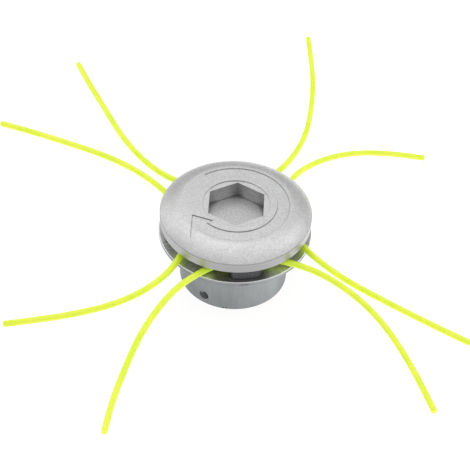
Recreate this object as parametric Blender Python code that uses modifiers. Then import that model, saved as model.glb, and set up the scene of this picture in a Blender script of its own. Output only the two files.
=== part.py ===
"""Fixed line trimmer head.

A cast body (hub, flange, core and four line posts), a cap with a hexagonal pocket that
screws into the core, a steel thread bush in the hub's boss, and four cutting lines, each
hooked round the back of one post so that both its ends stand out of the groove.

The head stands on its hub with the cap up. The origin is the centre of the hub's lower
rim, +Z is the shaft axis, and the four posts lie on -Y (front), +X, +Y and -X.
Lengths are in metres.
"""
import math

import bmesh
import bpy
import numpy as np
from mathutils import Matrix, Vector

MM = 0.001

# Clearances and fineness
FIT_GAP = 0.3 * MM
CUTTER_REACH = 2.0 * MM
WELD_DISTANCE = 0.00002
ARC_SAG = 0.06 * MM
TURNING_STEPS = 72
SHARP_ANGLE = 30.0
CORNER_SHARE = 0.45
PRISM_CORNER_AZIMUTH = 90.0

# Cutting lines
LINE_DIAMETER = 3.3 * MM
LINE_BEND_REACH = 27.0 * MM
LINE_POINT_PITCH = 2.4
LINE_CURVE_SAMPLES = 40

# Flange and groove
RIM_OVERHANG = 0.6 * MM
FLANGE_RIM_THICKNESS = 2.15 * MM
FLANGE_ROOT_THICKNESS = 3.9 * MM
GROOVE_HEIGHT = 6.6 * MM
RIM_EDGE = 0.3 * MM

# Hub, cup and boss
HUB_RADIUS = 29.1 * MM
HUB_HEIGHT = 30.2 * MM
HUB_WALL = 4.1 * MM
HUB_ROOT_FILLET = 3.0 * MM
HUB_EDGE = 0.35 * MM
CUP_DEPTH = 20.0 * MM
CUP_FILLET = 2.0 * MM
BOSS_WALL = 3.7 * MM
BOSS_RECESS = 5.0 * MM
BOSS_FILLET = 1.5 * MM
PIN_HOLE_DIAMETER = 5.3 * MM
PIN_HOLE_HEIGHT = 5.7 * MM
PIN_HOLE_AZIMUTH = -131.5
PIN_HOLE_SIDES = 24

# Line posts
POST_COUNT = 4
POST_WIDTH = 16.5 * MM
POST_RIM_MARGIN = 1.8 * MM
POST_BACK_RADIUS = 25.0 * MM
POST_CORNER = 2.5 * MM
POST_ROOT = 1.0 * MM

# Cap
CAP_RADIUS = 40.0 * MM
CAP_EDGE_HEIGHT = 5.7 * MM
CAP_EDGE = 0.4 * MM
SHOULDER_RISE = 5.4 * MM
PLATEAU_RISE = 0.3 * MM
PLATEAU_RADIUS = 29.5 * MM
SHOULDER_START_SLOPE = 12.0
SPIGOT_RADIUS = 19.0 * MM
SPIGOT_LENGTH = 10.5 * MM
SPIGOT_EDGE = 0.8 * MM

# Hexagonal pocket
SPOT_FACE_RADIUS = 17.6 * MM
SPOT_FACE_DEPTH = 0.5 * MM
HEX_SIDES = 6
HEX_ACROSS_FLATS = 28.7 * MM
HEX_DEPTH = 7.6 * MM
HEX_CORNER_AZIMUTH = 18.9
POCKET_FLOOR_STEP = 1.3 * MM
POCKET_FLOOR_MARGIN = 0.15 * MM
POCKET_FLOOR_FILLET = 1.0 * MM

# Turning arrow, sunk into the cap
ARROW_DEPTH = 0.5 * MM
ARROW_RADIUS = 24.7 * MM
ARROW_BAND_WIDTH = 6.4 * MM
ARROW_HEAD_WIDTH = 15.6 * MM
ARROW_TAIL_AZIMUTH = 119.0
ARROW_NECK_AZIMUTH = -143.0
ARROW_TIP_AZIMUTH = -165.5

# Thread bush
BUSH_RADIUS = 7.0 * MM
BUSH_FLANGE_RADIUS = 9.0 * MM
BUSH_FLANGE_THICKNESS = 1.5 * MM
BUSH_LENGTH = 16.0 * MM
BUSH_BORE_DIAMETER = 8.65 * MM
BUSH_EDGE = 0.6 * MM

# Heights worked out from the sizes above
FLANGE_TOP = HUB_HEIGHT + FLANGE_RIM_THICKNESS
LINE_HEIGHT = FLANGE_TOP + GROOVE_HEIGHT / 2
CAP_BOTTOM = FLANGE_TOP + GROOVE_HEIGHT
CORE_TOP = CAP_BOTTOM - FIT_GAP
CAP_EDGE_TOP = CAP_BOTTOM + CAP_EDGE_HEIGHT
PLATEAU_EDGE = CAP_EDGE_TOP + SHOULDER_RISE
CAP_TOP = PLATEAU_EDGE + PLATEAU_RISE
SPOT_FACE = CAP_TOP - SPOT_FACE_DEPTH
HEX_BOTTOM = SPOT_FACE - HEX_DEPTH
POCKET_FLOOR = HEX_BOTTOM - POCKET_FLOOR_STEP
SPIGOT_END = CAP_BOTTOM - SPIGOT_LENGTH
BUSH_SEAT = BOSS_RECESS - FIT_GAP
BUSH_FACE = BUSH_SEAT - BUSH_FLANGE_THICKNESS
BUSH_TOP = BUSH_FACE + BUSH_LENGTH

# Radii worked out from the sizes above
FLANGE_RADIUS = CAP_RADIUS + RIM_OVERHANG
LINE_RADIUS = LINE_DIAMETER / 2
CORE_RADIUS = LINE_BEND_REACH - LINE_RADIUS - FIT_GAP
POST_BACK = LINE_BEND_REACH + LINE_RADIUS + FIT_GAP
POST_OUTER_RADIUS = FLANGE_RADIUS - POST_RIM_MARGIN
CUP_RADIUS = HUB_RADIUS - HUB_WALL
BUSH_HOLE_RADIUS = BUSH_RADIUS + FIT_GAP
BOSS_RADIUS = BUSH_HOLE_RADIUS + BOSS_WALL

# Route points of each line in millimetres, in its post's own frame: X runs out along the
# post, Y along the rim. The middle point lies behind the post.
LINE_ROUTES = {
    "front_line": (-90.0, (
        (129.5, -79.5), (111.5, -74.0), (92.5, -66.5), (74.0, -58.0), (58.5, -48.5), (45.0, -37.5),
        (32.5, -20.0), (28.5, -10.0), (27.0, 0.0), (28.0, 10.0), (31.0, 20.0),
        (39.5, 34.5), (54.5, 48.5), (73.0, 59.0), (92.5, 65.5), (114.5, 70.0), (136.0, 73.0))),
    "right_line": (0.0, (
        (101.5, -97.0), (88.0, -85.0), (75.0, -73.0), (62.0, -60.5), (50.0, -48.0), (40.5, -35.5),
        (32.0, -20.0), (28.5, -10.0), (27.0, 0.0), (27.5, 10.0), (30.0, 20.0),
        (40.0, 35.5), (52.0, 43.5), (65.0, 48.0), (81.0, 49.0), (98.0, 46.0), (114.0, 41.0))),
    "back_line": (90.0, (
        (161.0, -70.0), (138.0, -67.5), (114.5, -64.0), (91.5, -58.5), (70.5, -51.5), (49.5, -39.5),
        (32.0, -20.0), (28.5, -10.0), (27.0, 0.0), (28.5, 10.0), (32.5, 20.0),
        (44.0, 34.5), (61.5, 46.0), (83.5, 55.0), (105.5, 61.5), (127.5, 68.0), (148.5, 73.5))),
    "left_line": (180.0, (
        (120.5, -96.5), (102.5, -86.5), (84.5, -75.5), (67.0, -64.0), (51.0, -50.5), (38.0, -34.5),
        (30.5, -20.0), (28.0, -10.0), (27.0, 0.0), (28.0, 10.0), (31.5, 20.0),
        (40.0, 32.5), (52.5, 43.0), (68.0, 50.5), (87.0, 55.0), (106.0, 57.0), (123.0, 58.0))),
}

PARTS = bpy.data.collections.new("line_trimmer_head")
CUTTERS = bpy.data.collections.new("cutters")


def clear_scene():
    """Remove what the file holds and link the two collections."""
    for old in list(bpy.data.objects):
        bpy.data.objects.remove(old, do_unlink=True)
    bpy.context.scene.collection.children.link(PARTS)
    bpy.context.scene.collection.children.link(CUTTERS)


def make_material(name, color, metallic, roughness):
    """A plain Principled material."""
    material = bpy.data.materials.new(name)
    material.use_nodes = True
    shader = material.node_tree.nodes["Principled BSDF"]
    shader.inputs["Base Color"].default_value = (*color, 1.0)
    shader.inputs["Metallic"].default_value = metallic
    shader.inputs["Roughness"].default_value = roughness
    return material


def arc_steps(radius, sweep):
    """Steps that keep a faceted arc within ARC_SAG of the true one."""
    facet = 2 * math.acos(max(0.0, 1.0 - ARC_SAG / radius))
    return max(1, math.ceil(abs(sweep) / facet))


def arc(center_x, center_y, radius, start, end):
    """Points along an arc, angles in radians, both ends included."""
    return [(center_x + radius * math.cos(angle), center_y + radius * math.sin(angle))
            for angle in np.linspace(start, end, arc_steps(radius, end - start) + 1)]


def rounded(corners):
    """Turn (x, y, radius) corners into points, each radius a tangent arc.

    A radius is limited by the shorter of the two sides that meet there.
    """
    points = []
    for index, (x, y, radius) in enumerate(corners):
        if radius == 0.0:
            points.append((x, y))
            continue
        corner = np.array((x, y))
        before = np.array(corners[index - 1][:2]) - corner
        after = np.array(corners[(index + 1) % len(corners)][:2]) - corner
        room = CORNER_SHARE * min(np.linalg.norm(before), np.linalg.norm(after))
        before /= np.linalg.norm(before)
        after /= np.linalg.norm(after)
        half = 0.5 * math.acos(float(np.clip(before @ after, -1.0, 1.0)))
        radius = min(radius, room * math.tan(half))
        center = corner + (before + after) / np.linalg.norm(before + after) * radius / math.sin(half)
        first = corner + before * radius / math.tan(half) - center
        last = corner + after * radius / math.tan(half) - center
        sweep = math.pi - 2 * half
        for t in np.linspace(0.0, 1.0, arc_steps(radius, sweep) + 1):
            spoke = (math.sin((1 - t) * sweep) * first + math.sin(t * sweep) * last) / math.sin(sweep)
            points.append(tuple(center + spoke))
    return points


def add_object(name, mesh, collection):
    """Link a new mesh object, with cutters shown as wire only."""
    piece = bpy.data.objects.new(name, mesh)
    collection.objects.link(piece)
    if collection == CUTTERS:
        piece.hide_render = True
        piece.display_type = "WIRE"
    return piece


def turned(name, profile, collection, closed=False):
    """Turn a profile of (radius, height) points about Z.

    The profile runs down its outer side. A closed one makes a ring with a bore.
    """
    sketch = bmesh.new()
    verts = [sketch.verts.new((radius, 0.0, height)) for radius, height in profile]
    for first, second in zip(verts, verts[1:]):
        sketch.edges.new((first, second))
    if closed:
        sketch.edges.new((verts[-1], verts[0]))
    mesh = bpy.data.meshes.new(name)
    sketch.to_mesh(mesh)
    sketch.free()
    piece = add_object(name, mesh, collection)
    screw = piece.modifiers.new("turning", "SCREW")
    screw.axis = "Z"
    screw.angle = 2 * math.pi
    screw.steps = TURNING_STEPS
    screw.render_steps = TURNING_STEPS
    screw.use_merge_vertices = True
    screw.merge_threshold = WELD_DISTANCE
    screw.use_normal_calculate = False
    return piece


def curve_to_mesh(curve_object, name, collection):
    """Replace a curve object by a welded mesh object in the same place."""
    bpy.context.view_layer.update()
    evaluated = curve_object.evaluated_get(bpy.context.evaluated_depsgraph_get())
    mesh = bpy.data.meshes.new_from_object(evaluated)
    place = curve_object.matrix_world.copy()
    bpy.data.objects.remove(curve_object, do_unlink=True)
    weld = bmesh.new()
    weld.from_mesh(mesh)
    bmesh.ops.remove_doubles(weld, verts=weld.verts, dist=WELD_DISTANCE)
    bmesh.ops.recalc_face_normals(weld, faces=weld.faces)
    weld.to_mesh(mesh)
    weld.free()
    piece = add_object(name, mesh, collection)
    piece.matrix_world = place
    return piece


def plate(name, outline, bottom, top, azimuth, collection):
    """Extrude a flat outline between two heights, turned about Z by an azimuth in degrees."""
    flat = bpy.data.curves.new(name, "CURVE")
    flat.dimensions = "2D"
    flat.fill_mode = "BOTH"
    flat.extrude = (top - bottom) / 2
    spline = flat.splines.new("POLY")
    spline.points.add(len(outline) - 1)
    for point, (x, y) in zip(spline.points, outline):
        point.co = (x, y, 0.0, 1.0)
    spline.use_cyclic_u = True
    piece = bpy.data.objects.new(name, flat)
    piece.matrix_world = (Matrix.Rotation(math.radians(azimuth), 4, "Z")
                          @ Matrix.Translation((0.0, 0.0, (bottom + top) / 2)))
    collection.objects.link(piece)
    return curve_to_mesh(piece, name, collection)


def cylinder_cutter(name, radius, length, segments, place):
    """A cylinder, or a prism for few segments, centred at a matrix and along its Z."""
    shape = bmesh.new()
    bmesh.ops.create_cone(shape, cap_ends=True, segments=segments, radius1=radius, radius2=radius,
                          depth=length, matrix=place)
    mesh = bpy.data.meshes.new(name)
    shape.to_mesh(mesh)
    shape.free()
    return add_object(name, mesh, CUTTERS)


def combine(piece, other, operation):
    """Add an exact Boolean modifier."""
    boolean = piece.modifiers.new(other.name, "BOOLEAN")
    boolean.operation = operation
    boolean.solver = "EXACT"
    boolean.object = other


def finish(piece, material):
    """Give a part its material and smooth shading that keeps sharp edges."""
    piece.data.materials.clear()
    piece.data.materials.append(material)
    piece.data.shade_smooth()
    piece.data.set_sharp_from_angle(angle=math.radians(SHARP_ANGLE))


def body_profile():
    """Half section of the body: core, flange, hub, cup and boss with the bush's hole."""
    return rounded((
        (0.0, SPIGOT_END - FIT_GAP, 0.0),
        (SPIGOT_RADIUS + FIT_GAP, SPIGOT_END - FIT_GAP, 0.0),
        (SPIGOT_RADIUS + FIT_GAP, CORE_TOP, CAP_EDGE),
        (CORE_RADIUS, CORE_TOP, CAP_EDGE),
        (CORE_RADIUS, FLANGE_TOP, RIM_EDGE),
        (FLANGE_RADIUS, FLANGE_TOP, RIM_EDGE),
        (FLANGE_RADIUS, HUB_HEIGHT, RIM_EDGE),
        (HUB_RADIUS, FLANGE_TOP - FLANGE_ROOT_THICKNESS, HUB_ROOT_FILLET),
        (HUB_RADIUS, 0.0, HUB_EDGE),
        (CUP_RADIUS, 0.0, HUB_EDGE),
        (CUP_RADIUS, CUP_DEPTH, CUP_FILLET),
        (BOSS_RADIUS, CUP_DEPTH, BOSS_FILLET),
        (BOSS_RADIUS, BOSS_RECESS, HUB_EDGE),
        (BUSH_HOLE_RADIUS, BOSS_RECESS, BUSH_EDGE),
        (BUSH_HOLE_RADIUS, BUSH_TOP + FIT_GAP, 0.0),
        (0.0, BUSH_TOP + FIT_GAP, 0.0),
    ))


def post_outline():
    """Plan of a post: arcs behind and in front, joined by round corners to straight sides."""
    half_width = POST_WIDTH / 2
    back_center = POST_BACK + POST_BACK_RADIUS
    side_length = (math.sqrt(POST_OUTER_RADIUS ** 2 - half_width ** 2)
                   - back_center + math.sqrt(POST_BACK_RADIUS ** 2 - half_width ** 2))
    corner = min(POST_CORNER, CORNER_SHARE * side_length)
    side = half_width - corner
    back_corner = back_center - math.sqrt((POST_BACK_RADIUS - corner) ** 2 - side ** 2)
    front_corner = math.sqrt((POST_OUTER_RADIUS - corner) ** 2 - side ** 2)
    back_angle = math.atan2(side, back_center - back_corner)
    front_angle = math.atan2(side, front_corner)
    quarter = math.pi / 2
    return (arc(0.0, 0.0, POST_OUTER_RADIUS, -front_angle, front_angle)
            + arc(front_corner, side, corner, front_angle, quarter)[1:]
            + arc(back_corner, side, corner, quarter, math.pi - back_angle)
            + arc(back_center, 0.0, POST_BACK_RADIUS, math.pi - back_angle, math.pi + back_angle)[1:]
            + arc(back_corner, -side, corner, math.pi + back_angle, 3 * quarter)[1:]
            + arc(front_corner, -side, corner, -quarter, -front_angle)[:-1])


def make_body(material):
    """The cast body with its four posts and the pin hole through the hub's wall."""
    body = turned("hub_body", body_profile(), PARTS)
    outline = post_outline()
    for index in range(POST_COUNT):
        post = plate(f"post_{index + 1}", outline, FLANGE_TOP - POST_ROOT, CORE_TOP,
                     360.0 / POST_COUNT * index, CUTTERS)
        combine(body, post, "UNION")
    wall_middle = HUB_RADIUS - HUB_WALL / 2
    place = (Matrix.Rotation(math.radians(PIN_HOLE_AZIMUTH), 4, "Z")
             @ Matrix.Translation((wall_middle, 0.0, PIN_HOLE_HEIGHT))
             @ Matrix.Rotation(math.pi / 2, 4, "Y"))
    pin_hole = cylinder_cutter("pin_hole", PIN_HOLE_DIAMETER / 2, HUB_WALL + 2 * CUTTER_REACH,
                               PIN_HOLE_SIDES, place)
    combine(body, pin_hole, "DIFFERENCE")
    finish(body, material)


def crown_profile():
    """Upper side of the cap from its centre to its edge: slightly arched plateau and shoulder."""
    plateau = (PLATEAU_RADIUS ** 2 + PLATEAU_RISE ** 2) / (2 * PLATEAU_RISE)
    plateau_end = math.acos(PLATEAU_RADIUS / plateau)
    run = CAP_RADIUS - PLATEAU_RADIUS
    start_slope = math.radians(SHOULDER_START_SLOPE)
    half_sweep = math.atan2(SHOULDER_RISE, run) - start_slope
    shoulder = math.hypot(run, SHOULDER_RISE) / (2 * math.sin(half_sweep))
    start = math.pi / 2 - start_slope
    return (arc(0.0, CAP_TOP - plateau, plateau, math.pi / 2, plateau_end)
            + arc(PLATEAU_RADIUS - shoulder * math.cos(start), PLATEAU_EDGE - shoulder * math.sin(start),
                  shoulder, start, start - 2 * half_sweep)[1:])


def cap_profile():
    """Half section of the cap: crown, rim and spigot."""
    crown = crown_profile()
    lower = rounded((
        (*crown[-1], 0.0),
        (CAP_RADIUS, CAP_BOTTOM, CAP_EDGE),
        (SPIGOT_RADIUS, CAP_BOTTOM, 0.0),
        (SPIGOT_RADIUS, SPIGOT_END, SPIGOT_EDGE),
        (0.0, SPIGOT_END, 0.0),
    ))
    return crown + lower[1:]


def polar(radius, azimuth):
    """A flat point from a radius and an azimuth in degrees."""
    return (radius * math.cos(math.radians(azimuth)), radius * math.sin(math.radians(azimuth)))


def arrow_outline():
    """Plan of the turning arrow: a band that runs clockwise from its tail to a pointed head."""
    inner = ARROW_RADIUS - ARROW_BAND_WIDTH / 2
    outer = ARROW_RADIUS + ARROW_BAND_WIDTH / 2
    tail = math.radians(ARROW_TAIL_AZIMUTH)
    neck = math.radians(ARROW_NECK_AZIMUTH)
    head = [polar(ARROW_RADIUS + ARROW_HEAD_WIDTH / 2, ARROW_NECK_AZIMUTH),
            polar(ARROW_RADIUS, ARROW_TIP_AZIMUTH),
            polar(ARROW_RADIUS - ARROW_HEAD_WIDTH / 2, ARROW_NECK_AZIMUTH)]
    return arc(0.0, 0.0, outer, tail, neck) + head + arc(0.0, 0.0, inner, neck, tail)


def make_arrow(above):
    """Cutter for the turning arrow, whose floor follows the crown at an even depth."""
    arrow = plate("arrow", arrow_outline(), CAP_BOTTOM, above, 0.0, CUTTERS)
    lowered = [(radius, height - ARROW_DEPTH) for radius, height in crown_profile()]
    below = CAP_BOTTOM - CUTTER_REACH
    kept = turned("arrow_floor", (*lowered, (CAP_RADIUS, below), (0.0, below)), CUTTERS)
    combine(arrow, kept, "DIFFERENCE")
    return arrow


def make_cap(material):
    """The cap with its spigot, spot face, hexagonal pocket and sunk turning arrow."""
    cap = turned("cap_disc", cap_profile(), PARTS)
    above = CAP_TOP + CUTTER_REACH
    spot_face = turned("spot_face", ((0.0, above), (SPOT_FACE_RADIUS, above),
                                     (SPOT_FACE_RADIUS, SPOT_FACE), (0.0, SPOT_FACE)), CUTTERS)
    place = (Matrix.Translation((0.0, 0.0, (above + HEX_BOTTOM) / 2))
             @ Matrix.Rotation(math.radians(HEX_CORNER_AZIMUTH - PRISM_CORNER_AZIMUTH), 4, "Z"))
    hexagon = cylinder_cutter("hexagon", HEX_ACROSS_FLATS / math.sqrt(3), above - HEX_BOTTOM,
                              HEX_SIDES, place)
    floor_radius = HEX_ACROSS_FLATS / 2 - POCKET_FLOOR_MARGIN
    floor = turned("pocket_floor", rounded((
        (0.0, above, 0.0),
        (floor_radius, above, 0.0),
        (floor_radius, POCKET_FLOOR, POCKET_FLOOR_FILLET),
        (0.0, POCKET_FLOOR, 0.0),
    )), CUTTERS)
    for cutter in (spot_face, hexagon, floor, make_arrow(above)):
        combine(cap, cutter, "DIFFERENCE")
    finish(cap, material)


def make_bush(material):
    """The flanged steel bush, drawn with a plain bore at the thread's minor diameter."""
    profile = rounded((
        (BUSH_BORE_DIAMETER / 2, BUSH_TOP, 0.0),
        (BUSH_RADIUS, BUSH_TOP, BUSH_EDGE),
        (BUSH_RADIUS, BUSH_SEAT, 0.0),
        (BUSH_FLANGE_RADIUS, BUSH_SEAT, 0.0),
        (BUSH_FLANGE_RADIUS, BUSH_FACE, BUSH_EDGE / 2),
        (BUSH_BORE_DIAMETER / 2, BUSH_FACE, BUSH_EDGE),
    ))
    finish(turned("shaft_thread_insert", profile, PARTS, closed=True), material)


def smooth_curve(points, pitch):
    """Points spaced evenly along the natural cubic curve through flat route points."""
    knots = np.array(points, dtype=float)
    spans = np.linalg.norm(np.diff(knots, axis=0), axis=1)
    count = len(knots)
    system = np.eye(count)
    bends = np.zeros((count, 2))
    for i in range(1, count - 1):
        system[i, i - 1:i + 2] = (spans[i - 1], 2 * (spans[i - 1] + spans[i]), spans[i])
        bends[i] = 6 * ((knots[i + 1] - knots[i]) / spans[i] - (knots[i] - knots[i - 1]) / spans[i - 1])
    bends = np.linalg.solve(system, bends)
    dense = []
    for i, span in enumerate(spans):
        for step in np.linspace(0.0, span, LINE_CURVE_SAMPLES, endpoint=(i == count - 2)):
            rest = span - step
            dense.append(bends[i] * rest ** 3 / (6 * span) + bends[i + 1] * step ** 3 / (6 * span)
                         + (knots[i] / span - bends[i] * span / 6) * rest
                         + (knots[i + 1] / span - bends[i + 1] * span / 6) * step)
    dense = np.array(dense)
    run = np.concatenate(([0.0], np.cumsum(np.linalg.norm(np.diff(dense, axis=0), axis=1))))
    stops = np.linspace(0.0, run[-1], max(2, round(run[-1] / pitch)) + 1)
    return [(float(np.interp(s, run, dense[:, 0])), float(np.interp(s, run, dense[:, 1]))) for s in stops]


def make_line(name, azimuth, route, material):
    """One cutting line: a tube along the smooth curve through its route points."""
    points = smooth_curve([(x * MM, y * MM) for x, y in route], LINE_POINT_PITCH * LINE_DIAMETER)
    path = bpy.data.curves.new(name, "CURVE")
    path.dimensions = "3D"
    path.bevel_depth = LINE_RADIUS
    path.bevel_resolution = 2
    path.use_fill_caps = True
    spline = path.splines.new("POLY")
    spline.points.add(len(points) - 1)
    turn = Matrix.Rotation(math.radians(azimuth), 3, "Z")
    for point, (x, y) in zip(spline.points, points):
        point.co = (*(turn @ Vector((x, y, LINE_HEIGHT))), 1.0)
    line = bpy.data.objects.new(name, path)
    PARTS.objects.link(line)
    path.materials.append(material)


def main():
    """Build the head."""
    clear_scene()
    cast = make_material("cast_aluminium", (0.56, 0.57, 0.58), 0.9, 0.5)
    turned_metal = make_material("cap_aluminium", (0.66, 0.66, 0.67), 0.9, 0.45)
    steel = make_material("zinc_plated_steel", (0.58, 0.57, 0.52), 1.0, 0.35)
    nylon = make_material("yellow_green_nylon", (0.72, 0.95, 0.03), 0.0, 0.35)
    make_body(cast)
    make_cap(turned_metal)
    make_bush(steel)
    for name, (azimuth, route) in LINE_ROUTES.items():
        make_line(name, azimuth, route, nylon)
    bpy.context.view_layer.update()


main()
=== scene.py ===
"""Looks of the fixed line trimmer head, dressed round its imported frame.

The head stands on its hub with the cap up. Its pieces are the cast body with four line
posts, the cap with a hexagonal pocket and a sunk arrow, the steel bush with the shaft
thread, and four cutting lines that run out of the groove between body and cap.
Lengths are in metres, written as millimetres times MM, and paint is placed in plain
millimetres. Heights and radii that the pieces share come from the frame.
"""

import logging
import math
from collections.abc import Callable, Sequence
from dataclasses import dataclass, field
from enum import Enum

import bmesh
import bpy
import numpy as np
from mathutils import Matrix, Vector


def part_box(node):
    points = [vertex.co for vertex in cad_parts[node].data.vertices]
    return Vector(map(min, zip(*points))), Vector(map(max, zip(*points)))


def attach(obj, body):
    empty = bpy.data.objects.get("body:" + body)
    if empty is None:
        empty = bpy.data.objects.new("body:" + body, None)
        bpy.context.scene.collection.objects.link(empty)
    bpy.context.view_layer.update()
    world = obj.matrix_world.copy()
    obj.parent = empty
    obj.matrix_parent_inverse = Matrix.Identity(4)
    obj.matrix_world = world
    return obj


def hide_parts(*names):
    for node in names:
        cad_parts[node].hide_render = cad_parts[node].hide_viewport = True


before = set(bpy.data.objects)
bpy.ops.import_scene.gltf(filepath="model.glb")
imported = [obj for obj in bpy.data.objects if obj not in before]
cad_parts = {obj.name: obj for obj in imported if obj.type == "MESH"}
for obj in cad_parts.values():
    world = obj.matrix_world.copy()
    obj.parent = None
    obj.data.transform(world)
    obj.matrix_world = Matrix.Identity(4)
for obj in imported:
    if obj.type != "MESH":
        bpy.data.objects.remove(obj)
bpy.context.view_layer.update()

LOG = logging.getLogger("trimmer_head")
BODY = "root"
IMAGE_WIDTH = 470

Point = tuple[float, float]
Corner = tuple[float, float, float]
Colour = tuple[float, float, float]
Span = tuple[float, float]
Stretch = tuple[float, float, float]

MM = 0.001
ORIGIN = (0.0, 0.0, 0.0)
UP = (0.0, 0.0, 1.0)
DOWN = (0.0, 0.0, -1.0)
FIT_GAP = 0.3 * MM

# Fineness of the new meshes
ARC_SAG = 0.004 * MM
TURNING_STEPS = 288
WELD_DISTANCE = 0.002 * MM
CUTTER_REACH = 2.0 * MM
CORNER_SHARE = 0.45
PRISM_CORNER_AZIMUTH = 90.0
HEX_SIDES = 6
BEVEL_SEGMENTS = 2
SHARP_ANGLE = 32.0
CREASE_ANGLE = 40.0
CURVE_SAMPLES = 40

# Painted marks and the numbers of the Mix node's colour sockets
SECTOR_SOFTNESS = 0.01
LINE_SOFT_SHARE = 1 / 3
NOISE_MEAN = 0.5
MIX_COLOURS = (6, 7)
MIX_RESULT = 2


def arc(center: Point, radius: float, start: float, end: float) -> list[Point]:
    """Points along an arc, both ends included.

    Args:
        center: Centre of the arc.
        radius: Its radius.
        start: First angle in radians.
        end: Last angle in radians.

    Returns:
        Points fine enough to stay within ARC_SAG of the arc.
    """
    facet = 2 * math.acos(max(0.0, 1.0 - ARC_SAG / radius))
    steps = max(1, math.ceil(abs(end - start) / facet))
    return [(center[0] + radius * math.cos(angle), center[1] + radius * math.sin(angle))
            for angle in np.linspace(start, end, steps + 1)]


def rounded(corners: Sequence[Corner]) -> list[Point]:
    """Turn (x, y, radius) corners into points, each radius a tangent arc.

    Args:
        corners: Corners of a closed outline, radius 0 for a sharp one.

    Returns:
        The outline's points in the same order.
    """
    points: list[Point] = []
    for index, (x, y, radius) in enumerate(corners):
        if radius == 0.0:
            points.append((x, y))
            continue
        corner = np.array((x, y))
        before = np.array(corners[index - 1][:2]) - corner
        after = np.array(corners[(index + 1) % len(corners)][:2]) - corner
        room = CORNER_SHARE * min(np.linalg.norm(before), np.linalg.norm(after))
        before /= np.linalg.norm(before)
        after /= np.linalg.norm(after)
        half = 0.5 * math.acos(float(np.clip(before @ after, -1.0, 1.0)))
        radius = min(radius, room * math.tan(half))
        center = corner + (before + after) / np.linalg.norm(before + after) * radius / math.sin(half)
        first = corner + before * radius / math.tan(half) - center
        last = corner + after * radius / math.tan(half) - center
        sweep = math.pi - 2 * half
        steps = len(arc((0.0, 0.0), radius, 0.0, sweep))
        for t in np.linspace(0.0, 1.0, steps):
            spoke = (math.sin((1 - t) * sweep) * first + math.sin(t * sweep) * last) / math.sin(sweep)
            points.append((float(center[0] + spoke[0]), float(center[1] + spoke[1])))
    return points


def polar(radius: float, azimuth: float) -> Point:
    """A flat point from a radius and an azimuth in degrees."""
    return radius * math.cos(math.radians(azimuth)), radius * math.sin(math.radians(azimuth))


class Change(Enum):
    """What a second shape does to a piece."""

    ADD = "UNION"
    CUT = "DIFFERENCE"


class Blank:
    """A closed shape under work, made with bmesh operators."""

    def __init__(self) -> None:
        """Start with an empty mesh."""
        self.mesh = bmesh.new()

    def turn(self, profile: Sequence[Point]) -> "Blank":
        """Spin a half section about Z.

        Args:
            profile: Points (radius, height) of the section, from axis to axis.

        Returns:
            The blank itself.
        """
        verts = [self.mesh.verts.new((radius, 0.0, height)) for radius, height in profile]
        edges = [self.mesh.edges.new(pair) for pair in zip(verts, verts[1:])]
        bmesh.ops.spin(self.mesh, geom=verts + edges, cent=ORIGIN, axis=UP, dvec=ORIGIN,
                       angle=math.tau, steps=TURNING_STEPS, use_merge=True)
        return self.close()

    def extrude(self, outline: Sequence[Point], bottom: float, top: float, azimuth: float = 0.0) -> "Blank":
        """Raise a flat outline between two heights.

        Args:
            outline: Points of the closed outline.
            bottom: Height of its lower face.
            top: Height of its upper face.
            azimuth: Turn about Z in degrees.

        Returns:
            The blank itself.
        """
        verts = [self.mesh.verts.new((x, y, bottom)) for x, y in outline]
        edges = [self.mesh.edges.new(pair) for pair in zip(verts, verts[1:] + verts[:1])]
        faces = bmesh.ops.edgeloop_fill(self.mesh, edges=edges)["faces"]
        raised = bmesh.ops.extrude_face_region(self.mesh, geom=faces, use_keep_orig=True)["geom"]
        bmesh.ops.translate(self.mesh, vec=(0.0, 0.0, top - bottom),
                            verts=[part for part in raised if isinstance(part, bmesh.types.BMVert)])
        bmesh.ops.rotate(self.mesh, cent=ORIGIN, verts=self.mesh.verts,
                         matrix=Matrix.Rotation(math.radians(azimuth), 3, "Z"))
        return self.close()

    def cone(self, lower: float, upper: float, length: float, sides: int, place: Matrix) -> "Blank":
        """Add a cone, cylinder or prism.

        Args:
            lower: Radius at its lower end.
            upper: Radius at its upper end.
            length: Its length along its own Z.
            sides: Number of its sides.
            place: Matrix that moves it from the origin, where it is centred.

        Returns:
            The blank itself.
        """
        bmesh.ops.create_cone(self.mesh, cap_ends=True, segments=sides, radius1=lower, radius2=upper,
                              depth=length, matrix=place)
        return self

    def close(self) -> "Blank":
        """Merge doubles, make each pole one flat face and point the faces outwards.

        Returns:
            The blank itself.
        """
        bmesh.ops.remove_doubles(self.mesh, verts=self.mesh.verts, dist=WELD_DISTANCE)
        poles = [vert for vert in self.mesh.verts if math.hypot(vert.co.x, vert.co.y) < WELD_DISTANCE]
        if poles:
            bmesh.ops.dissolve_verts(self.mesh, verts=poles)
        bmesh.ops.recalc_face_normals(self.mesh, faces=self.mesh.faces)
        return self

    def release(self, name: str) -> bpy.types.Object:
        """Turn the blank into a linked mesh object and free it.

        Args:
            name: The object's name.

        Returns:
            The object.
        """
        mesh = bpy.data.meshes.new(name)
        self.mesh.to_mesh(mesh)
        self.mesh.free()
        made = bpy.data.objects.new(name, mesh)
        bpy.context.scene.collection.objects.link(made)
        return made


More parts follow.
